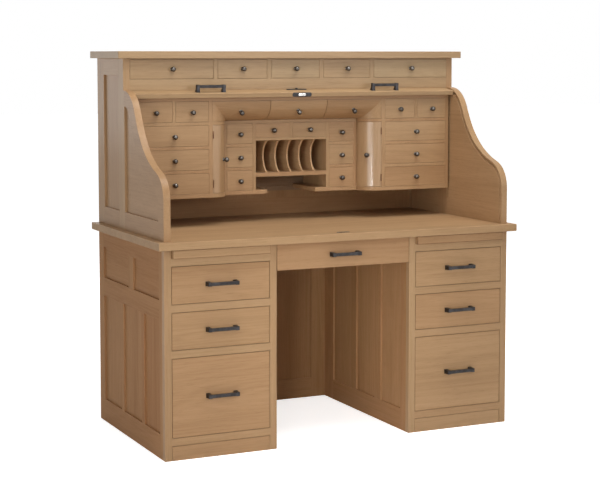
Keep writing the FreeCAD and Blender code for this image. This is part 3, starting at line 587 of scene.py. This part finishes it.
def round_ended(name, low, high, rounding):
    """A block between two corners with its upright edges rounded, in edit mode."""
    piece = block_start(name, low, high)
    bpy.ops.mesh.select_mode(type="EDGE")
    form = bmesh.from_edit_mesh(piece.data)
    for edge in form.edges:
        run = edge.verts[0].co - edge.verts[1].co
        edge.select_set(abs(run.x) < UPRIGHT_WITHIN and abs(run.y) < UPRIGHT_WITHIN)
    bmesh.update_edit_mesh(piece.data)
    bpy.ops.mesh.bevel(offset=rounding, segments=ROUND_SEGMENTS, affect="EDGES")
    bpy.ops.mesh.select_mode(type="FACE")
    return piece


def slotted_plate(name, low, high):
    """A thin plate with round ends and a sunk slot in its upper face."""
    piece = round_ended(name, low, high, STRIKE_ROUND)
    shaped_faces(piece, lambda centre, normal: normal.z > 0.9)
    bpy.ops.mesh.inset(thickness=SLOT_RIM)
    middle = ((low.x + high.x) / 2, (low.y + high.y) / 2, high.z)
    bpy.ops.transform.resize(value=SLOT_SHARE, center_override=middle)
    drawn_out((0, 0, -SLOT_SUNK * (high.z - low.z)))
    smoothed(piece, STRIKE_EASE, segments=1, angle=50)
    return piece


strike = slotted_plate("strike_plate", *box_of(solids_in("desk_top")[1][0]))
finish_piece(strike, black_steel, "desk", "dark_metal")

# Hutch sides. Two S-shaped walls stand on the writing board: shaped stiles and rails round a thin panel,
# with an inner lining that leaves the curtain's groove open along the curve.
S_EASE = 0.0012
S_PANELS = {0: ALONG_Y, 3: ALONG_Y, 7: ALONG_Y, 8: ALONG_Y}
S_PLANK = (0, 3, 8)
for side in SIDES:
    node = side + "_hutch_side"
    wall = lacquered_boards(node + "_wall", node, ease=S_EASE, grain=S_PANELS, matched=S_PLANK)
    finish_piece(wall, case_wood, "desk", "case_wood", node)

# Hutch back. Thin wooden panels in a light frame close the back of the hutch, fixed to its two sides, and
# keep the hanging curtain covered.
# The back stands in shade under the pigeonholes, and its copy of the wood is leaned a little to red as
# painted shade.
back_wood = lacquered_wood("back_wood", lacquer=0.2, wear=0.4, warm=0.25)
back = lacquered_boards("hutch_back_panels", "hutch_back")
finish_piece(back, back_wood, "desk", "case_wood", "hutch_back")

# Top case and top board. A shallow case across the top of the hutch holds five drawers, under a board with
# a rounded edge that overhangs it. Both take a paler, straw-leaning copy of the wood, painted light for the
# well-lit top.
lit_straw_wood = lacquered_wood("lit_straw_wood", rings=0.35, wear=0.4, warm=-0.8)
case = lacquered_boards("top_case_frame", "top_case")
finish_piece(case, lit_straw_wood, "desk", "case_wood", "top_case")
cover = lacquered_boards("top_cover", "top_board", None, BOARD_EASE, ALONG_X)
finish_piece(cover, lit_straw_wood, "desk", "case_wood", "top_board")

# Top drawers. Two wide drawers at the ends and three narrow ones between them, with fronts in the same
# painted-light straw copy of the wood as their case, and boxes made as the base drawers' are.
TOP_DRAWERS = ["top_drawer_%d" % number for number in range(1, 6)]
# A little painted shade along the eased edges deepens the gaps round the top drawers.
lit_straw_drawer_wood = lacquered_wood("lit_straw_drawer_wood", rings=0.5, wear=0.1, gap_shade=0.2, warm=-0.9)
top_fittings = {node: drawer(node, lit_straw_drawer_wood, DRAWER_EASE) for node in TOP_DRAWERS}

# Ball knobs of the top drawers. Each is turned from one piece of pewter-grey metal: a small rose against
# the wood, a waisted neck and a ball, darker where hands don't reach.
ROSE_RINGS = [(0.0074, 0.0), (0.0074, 0.0008), (0.0067, 0.0016), (0.0057, 0.0022)]
NECK, NECK_LOW, NECK_LONG = 0.0052, 0.0032, 0.0054
BALL, BALL_RINGS = 0.0094, 11
BALL_END = (0.08, 0.998)
KNOB_SIDES = 20
TURNED_SMOOTH = math.radians(35)
PEWTER_DARK = (0.062, 0.054, 0.048, 1.0)
PEWTER_RUBBED = (0.165, 0.150, 0.135, 1.0)


def turned(name, rings, sides):
    """A turned piece, drawn out of a disc ring by ring as (radius, height), closed at its end."""
    bpy.ops.object.select_all(action="DESELECT")
    radius, height = rings[0]
    bpy.ops.mesh.primitive_circle_add(vertices=sides, radius=radius, fill_type="NGON", location=(0, 0, 0))
    piece = bpy.context.active_object
    piece.name = name
    piece.data.name = name
    bpy.ops.object.mode_set(mode="EDIT")
    bpy.ops.mesh.select_mode(type="FACE")
    bpy.ops.mesh.select_all(action="SELECT")
    bpy.ops.transform.translate(value=(0, 0, height))
    for next_radius, next_height in rings[1:]:
        share = next_radius / radius
        drawn_out((0, 0, next_height - height), (share, share, 1))
        radius, height = next_radius, next_height
    bpy.ops.mesh.select_all(action="SELECT")
    bpy.ops.mesh.normals_make_consistent(inside=False)
    bpy.ops.object.mode_set(mode="OBJECT")
    bpy.ops.object.shade_smooth_by_angle(angle=TURNED_SMOOTH)
    return piece


def knob_rings():
    """The knob's outline: rose, neck and ball."""
    middle = NECK_LONG + math.sqrt(BALL ** 2 - NECK ** 2)
    rings = ROSE_RINGS + [(NECK, NECK_LOW)]
    start = -math.acos(NECK / BALL)
    for step in range(BALL_RINGS):
        turn = start + (math.pi / 2 - start) * step / BALL_RINGS
        rings.append((BALL * math.cos(turn), middle + BALL * math.sin(turn)))
    return rings + [(BALL * BALL_END[0], middle + BALL * BALL_END[1])]


pewter = aged_metal("pewter", PEWTER_DARK, PEWTER_RUBBED, 0.29, (0.30, 0.70))
knob_pattern = turned("knob", knob_rings(), KNOB_SIDES)
for node, fittings in top_fittings.items():
    knob = fitted_copy(knob_pattern, node + "_knob", *fitting_place(fittings))
    finish_piece(knob, pewter, node + "_body", "dark_metal")

# Tambour curtain. Narrow round-edged slats are glued side by side on a strong canvas and run in the grooves
# of the hutch sides. Neighbouring slats make up a strip, and each strip has its own stretch of canvas.
STRIPS = ["tambour_strip_%d" % number for number in range(1, 10)]
SLAT_EASE = 0.0008
CANVAS_EASE = 0.0001
CANVAS_DARK = (0.215, 0.135, 0.078, 1.0)
CANVAS_LIGHT = (0.400, 0.265, 0.160, 1.0)
THREAD_SCALE, THREAD_WANDER = 220.0, 1.2
GLUE_SCALE = 14.0
CANVAS_ROUGH, WEAVE_RELIEF = (0.95, 0.80), (0.4, 0.0003)


def canvas_cloth():
    """Plain-woven canvas: threads both ways, browned by the glue."""
    finish, tree, surface = new_finish("curtain_canvas")
    place = node_in(tree, "ShaderNodeTexCoord").outputs["Object"]
    threads = [node_in(tree, "ShaderNodeTexWave", {
        "Vector": place, "Scale": THREAD_SCALE, "Distortion": THREAD_WANDER}, bands_direction=way)
        for way in ("X", "Z")]
    weave = arithmetic(tree, "MAXIMUM", *(thread.outputs["Fac"] for thread in threads))
    glue = node_in(tree, "ShaderNodeTexNoise", {"Vector": place, "Scale": GLUE_SCALE, "Detail": 3.0})
    clean = arithmetic(tree, "MULTIPLY", weave, glue.outputs["Fac"])
    tree.links.new(blended(tree, clean, CANVAS_DARK, CANVAS_LIGHT), surface.inputs["Base Color"])
    tree.links.new(ranged(tree, weave, 0.0, 1.0, *CANVAS_ROUGH), surface.inputs["Roughness"])
    relief(tree, surface, weave, *WEAVE_RELIEF)
    return finish


curtain_wood = lacquered_wood("curtain_wood", rings=0.3, warm=-0.6)
canvas = canvas_cloth()
for node in STRIPS:
    count = len(solids_in(node))
    slats = lacquered_boards(node + "_slats", node, range(0, count, 2), SLAT_EASE, ALONG_X)
    finish_piece(slats, curtain_wood, node + "_body", "curtain_wood", node)
    cloth = lacquered_boards(node + "_canvas", node, range(1, count, 2), CANVAS_EASE, ALONG_X)
    finish_piece(cloth, canvas, node + "_body", "curtain_wood")

# Lift rail. A stout wooden rail ends the curtain. Two of the bar pulls lift it, and the lock in its front
# edge has a dark face plate with a bright bolt, and a slim key plate with a boss on the rail's upper face.
RAIL_EASE = 0.0022
RAIL_SOLIDS = solids_in("lift_rail")
RAIL_PULLS = {"lift_rail_pull_1": RAIL_SOLIDS[1:4], "lift_rail_pull_2": RAIL_SOLIDS[4:7]}
LOCK_FACE, LOCK_BOLT, KEY_PLATE = RAIL_SOLIDS[7:10]
TO_FRONT, TO_TOP = (0, -1, 0), (0, -0.3, 1)
KEY_PLATE_RAISED = 0.0026
PLATE_EASE = 0.0003
PLATE_ROUND = 0.42
BOSS_RINGS = [(0.0046, 0.0), (0.0046, 0.0050), (0.0038, 0.0062), (0.0012, 0.0067)]
BOSS_SIDES = 16
STEEL_BRIGHT = (0.50, 0.49, 0.47, 1.0)
STEEL_RUBBED = (0.74, 0.73, 0.71, 1.0)
rail = lacquered_boards("lift_rail_board", "lift_rail", [0], RAIL_EASE, ALONG_X)
finish_piece(rail, curtain_wood, "lift_rail_body", "curtain_wood", "lift_rail")
for name, fittings in RAIL_PULLS.items():
    pull = fitted_copy(pull_pattern, name, *fitting_place(fittings))
    finish_piece(pull, black_steel, "lift_rail_body", "dark_metal")
bpy.data.objects.remove(pull_pattern)


def broad_face(solid, towards):
    """Centre and normal of the widest flat face of a solid that looks a given way."""
    corners, rings = solid
    widths = {}
    for ring in rings:
        a, b, c = (corners[i] for i in ring[:3])
        wide = (b - a).cross(c - a)
        if wide.dot(Vector(towards)) > 0:
            key = tuple(round(v, 3) for v in wide.normalized())
            widths.setdefault(key, []).append((wide.length, wide.normalized(), (a, b, c)))
    best = max(widths.values(), key=lambda parts: sum(part[0] for part in parts))
    low, high = box_of([p for part in best for p in part[2]])
    return (low + high) / 2, best[0][1]


def thin_plate(name, length, width, thick):
    """A thin plate with round ends, lying on the plane of its face."""
    low, high = (-length / 2, -width / 2, -thick), (length / 2, width / 2, 0.0)
    piece = round_ended(name, low, high, width * PLATE_ROUND)
    smoothed(piece, PLATE_EASE, angle=50)
    return piece


bright_steel = aged_metal("bright_steel", STEEL_BRIGHT, STEEL_RUBBED, 0.24, (0.30, 0.60))
for name, solid, size, raised, finish, towards in (
        ("lock_face", LOCK_FACE, (0.080, 0.016, 0.0015), 0.0, black_steel, TO_FRONT),
        ("lock_bolt", LOCK_BOLT, (0.031, 0.0095, 0.0020), 0.0, bright_steel, TO_FRONT),
        ("key_plate", KEY_PLATE, (0.084, 0.005, 0.0042), KEY_PLATE_RAISED, black_steel, TO_TOP)):
    centre, out = broad_face(solid, towards)
    pattern = thin_plate(name + "_pattern", *size)
    plate = fitted_copy(pattern, name, centre + out * raised, out)
    finish_piece(plate, finish, "lift_rail_body", "dark_metal")
    bpy.data.objects.remove(pattern)
boss_pattern = turned("boss", BOSS_RINGS, BOSS_SIDES)
boss = fitted_copy(boss_pattern, "key_boss", *broad_face(KEY_PLATE, TO_TOP))
finish_piece(boss, black_steel, "lift_rail_body", "dark_metal")
bpy.data.objects.remove(boss_pattern)

# Bead of the top case. A slim wooden strip glued under the case's front rail closes the gap above the open
# curtain, planed to the slope of the lift rail's upper face.
BEAD_DEEP = 0.007
BEAD_GAP = 0.0003
BEAD_EASE = 0.0003
BEAD_TONE = 0.5
case_low, case_high = box_of(solids_in("top_case")[0][0])
bead_back = case_low.y + BEAD_DEEP
slope_place, slope_out = broad_face(RAIL_SOLIDS[0], TO_TOP)


def bead_foot(y):
    """Height of the bead's lower face at a depth: just clear of the rail's upper face."""
    return slope_place.z - slope_out.y * (y - slope_place.y) / slope_out.z + BEAD_GAP


bead = block_start("case_bead", (case_low.x, case_low.y, bead_foot(case_low.y)),
                   (case_high.x, bead_back, case_low.z))
bpy.ops.mesh.select_mode(type="VERT")
bpy.ops.mesh.select_all(action="DESELECT")
form = bmesh.from_edit_mesh(bead.data)
for point in form.verts:
    point.select_set(point.co.y > bead_back - BEAD_GAP and point.co.z < case_low.z - BEAD_GAP)
bmesh.update_edit_mesh(bead.data)
bpy.ops.transform.translate(value=(0, 0, bead_foot(bead_back) - bead_foot(case_low.y)))
smoothed(bead, BEAD_EASE)
write_attribute(bead.data, "grain", "FLOAT_VECTOR", "POINT", [point.co for point in bead.data.vertices])
write_attribute(bead.data, "tone", "FLOAT", "POINT", [BEAD_TONE] * len(bead.data.vertices))
finish_piece(bead, lit_straw_wood, "desk", "case_wood")

# Pigeonhole case. Thin boards housed into each other make the blocks, columns and letter slots that hang
# between the hutch sides, clear of the writing board. The letter dividers have scooped front edges.
PIGEONHOLE_EASE = 0.0006
divider_wood = lacquered_wood("divider_wood", wear=0.5, pale=1.35, warm=-0.5)
for node, finish in (("pigeonhole_case", case_wood), ("letter_dividers", divider_wood)):
    case = lacquered_boards(node + "_boards", node, ease=PIGEONHOLE_EASE)
    finish_piece(case, finish, "desk", "case_wood", node)

# Drawers of the pigeonholes. Small drawers at both ends, in the columns and over the letter slots, and
# curved ones along the top, each with a solid front, thin box boards and a ball knob.
UNIT_DRAWERS = [side + kind for side in SIDES for kind in (
    "_small_drawer_1", "_small_drawer_2", "_wide_drawer_1", "_wide_drawer_2", "_wide_drawer_3",
    "_column_drawer_1", "_column_drawer_2", "_column_drawer_3", "_bay_drawer")]
CURVED_FRONTS = {"left_curved_drawer": 2, "middle_curved_drawer": 1, "right_curved_drawer": 2}
SMALL_EASE = 0.0007
small_drawer_wood = lacquered_wood("small_drawer_wood", rings=0.5, wear=0.25, warm=-0.25)
for node in UNIT_DRAWERS + list(CURVED_FRONTS):
    fittings = drawer(node, small_drawer_wood, SMALL_EASE, CURVED_FRONTS.get(node, 1))
    knob = fitted_copy(knob_pattern, node + "_knob", *fitting_place(fittings))
    finish_piece(knob, pewter, node + "_body", "dark_metal")

# Rounded doors. Each compartment between a block and a column has a wooden door coopered to a quarter
# round, on two slim bronze hinges, with a ball knob on its curve.
DOOR_EASE = 0.0008
HINGE_RADIUS = 0.0021
HINGE_LONG = 0.026
HINGE_SIDES = 12
BARRELS = 5
BARREL_GAP = 0.0003
TIP_LONG = 0.0010
BRONZE_DARK = (0.120, 0.055, 0.028, 1.0)
BRONZE_RUBBED = (0.260, 0.140, 0.075, 1.0)


def hinge_rings():
    """The hinge's outline: barrels with fine gaps between them, and a rounded tip at each end."""
    tip, shoulder, waist = HINGE_RADIUS * 0.45, HINGE_RADIUS * 0.75, HINGE_RADIUS * 0.86
    rings = [(tip, -TIP_LONG), (shoulder, -TIP_LONG / 2)]
    for barrel in range(BARRELS):
        start = HINGE_LONG * barrel / BARRELS
        end = HINGE_LONG * (barrel + 1) / BARRELS
        rings += [(waist, start), (HINGE_RADIUS, start + BARREL_GAP), (HINGE_RADIUS, end - BARREL_GAP)]
    return rings + [(shoulder, HINGE_LONG + TIP_LONG / 2), (tip, HINGE_LONG + TIP_LONG)]


door_wood = lacquered_wood("door_wood", lacquer=1.0, satin=0.20, warm=-0.4, index=1.52)
bronze = aged_metal("bronze", BRONZE_DARK, BRONZE_RUBBED, 0.38, (0.35, 0.70), metallic=0.9)
hinge_pattern = turned("hinge", hinge_rings(), HINGE_SIDES)
for side in SIDES:
    node = side + "_door"
    solids = solids_in(node)
    pins, knob_solids = solids[1:3], solids[3:]
    door = lacquered_boards(node + "_leaf", node, [0], DOOR_EASE, ALONG_Z)
    finish_piece(door, door_wood, node + "_body", "drawer_wood", node)
    knob = fitted_copy(knob_pattern, node + "_knob", *fitting_place(knob_solids))
    finish_piece(knob, pewter, node + "_body", "dark_metal")
    for number, (corners, _) in enumerate(pins, 1):
        low, high = box_of(corners)
        foot = Vector(((low.x + high.x) / 2, (low.y + high.y) / 2, low.z))
        hinge = fitted_copy(hinge_pattern, "%s_hinge_%d" % (node, number), foot, (0, 0, 1))
        finish_piece(hinge, bronze, node + "_body", "dark_metal")
bpy.data.objects.remove(knob_pattern)
bpy.data.objects.remove(hinge_pattern)

# Studio. A pale floor and a white surround, with broad soft lamps from the front left, from above and from
# behind. Weak cards show in the lacquer of the doors and the left side and lighten the kneehole. The camera
# stands in front, to the left, about as high as the top board.
WHITE = (1.0, 1.0, 1.0, 1.0)
FLOOR_HALF = 30.0
FLOOR_PALE = (0.92, 0.92, 0.92, 1.0)
FLOOR_ROUGH, FLOOR_GLOSS = 0.9, 0.1
FLOOR_NEAR, FLOOR_NEAR_GLOW = 1.3, 0.72
FLOOR_FAR, FLOOR_FAR_GLOW = 3.2, 1.0
SKY_LIGHT = 0.08
CAMERA_PLACE = (-2.4817, -5.2348, 1.3974)
CAMERA_YAW, CAMERA_DOWN = math.radians(25.25), math.radians(4.58)
CAMERA_LENS, CAMERA_SENSOR = 91.985, 36.0
CAMERA_SHIFT = -0.12


def background_seen(tree):
    """One for rays from the camera and from glossy or clear surfaces, else nought."""
    path = node_in(tree, "ShaderNodeLightPath")
    seen = arithmetic(tree, "MAXIMUM", path.outputs["Is Camera Ray"], path.outputs["Is Glossy Ray"])
    return arithmetic(tree, "MAXIMUM", seen, path.outputs["Is Transmission Ray"])


def pale_floor():
    """A floor wide enough to reach the horizon, pale round the desk and white further off."""
    bpy.ops.object.select_all(action="DESELECT")
    bpy.ops.mesh.primitive_plane_add(size=2 * FLOOR_HALF, location=(0, 0, cad_low.z))
    floor = bpy.context.active_object
    floor.name = "floor"
    bpy.ops.object.transform_apply(location=True, rotation=True, scale=True)
    finish, tree, surface = new_finish("floor_paper")
    surface.inputs["Base Color"].default_value = FLOOR_PALE
    surface.inputs["Roughness"].default_value = FLOOR_ROUGH
    surface.inputs["Specular IOR Level"].default_value = FLOOR_GLOSS
    surface.inputs["Emission Color"].default_value = WHITE
    place = node_in(tree, "ShaderNodeTexCoord").outputs["Object"]
    away = node_in(tree, "ShaderNodeVectorMath", {0: place}, operation="LENGTH").outputs["Value"]
    glow = ranged(tree, away, FLOOR_NEAR, FLOOR_FAR, FLOOR_NEAR_GLOW, FLOOR_FAR_GLOW)
    glow = arithmetic(tree, "MULTIPLY", background_seen(tree), glow)
    tree.links.new(glow, surface.inputs["Emission Strength"])
    floor.data.materials.append(finish)
    floor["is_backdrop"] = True


def white_surround():
    """Even light from all round, seen as white by the camera and in reflections."""
    world = bpy.data.worlds.new("surround")
    world.use_nodes = True
    bpy.context.scene.world = world
    tree = world.node_tree
    sky = tree.nodes["Background"]
    light = ranged(tree, background_seen(tree), 0.0, 1.0, SKY_LIGHT, 1.0)
    tree.links.new(light, sky.inputs["Strength"])
    sky.inputs["Color"].default_value = WHITE


def soft_lamp(name, place, aim, size, power, spread=180):
    """A rectangular lamp at a place, turned to face a point, its beam as wide as the spread."""
    lamp = bpy.data.lights.new(name, "AREA")
    lamp.shape = "RECTANGLE"
    lamp.size, lamp.size_y = size
    lamp.energy = power
    lamp.spread = math.radians(spread)
    holder = bpy.data.objects.new(name, lamp)
    holder.location = place
    holder.rotation_euler = (Vector(aim) - Vector(place)).to_track_quat("-Z", "Y").to_euler()
    bpy.context.scene.collection.objects.link(holder)


pale_floor()
white_surround()
soft_lamp("key", (-1.5, -4.0, 3.8), (0.0, 0.0, 0.8), (2.6, 2.0), 47.0)
soft_lamp("fill", (-1.4, -4.7, 1.9), (0.0, 0.0, 0.8), (2.6, 1.6), 8.0)
soft_lamp("top", (0.2, -0.9, 3.6), (0.0, -0.1, 0.8), (2.4, 1.6), 74.0)
soft_lamp("side", (-3.4, -2.9, 1.2), (0.31, 0.05, 1.0), (1.6, 1.8), 37.0)
soft_lamp("front_card", (1.8, -4.1, 1.75), (-0.2, -0.2, 1.32), (1.8, 0.9), 2.2, 40)
soft_lamp("back_card", (-2.1, 2.9, 1.35), (-0.7, 0.0, 1.1), (1.8, 0.9), 11.0)
soft_lamp("kneehole_card", (-2.2, -3.6, 0.45), (0.26, 0.0, 0.35), (0.6, 0.5), 1.05, 26)
soft_lamp("back", (1.6, 4.6, 2.6), (0.0, 0.0, 0.8), (2.6, 2.0), 70.0)
soft_lamp("far_side", (4.4, 0.9, 2.2), (0.7, 0.0, 0.8), (2.0, 2.0), 40.0)

camera = bpy.data.cameras.new("camera")
camera.sensor_fit = "HORIZONTAL"
camera.sensor_width = CAMERA_SENSOR
camera.lens = CAMERA_LENS
camera.shift_y = CAMERA_SHIFT
stand = bpy.data.objects.new("camera", camera)
stand.location = CAMERA_PLACE
stand.rotation_euler = (math.pi / 2 - CAMERA_DOWN, 0.0, -CAMERA_YAW)
bpy.context.scene.collection.objects.link(stand)
bpy.context.scene.camera = stand
bpy.context.scene.view_settings.view_transform = "Standard"

low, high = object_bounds()
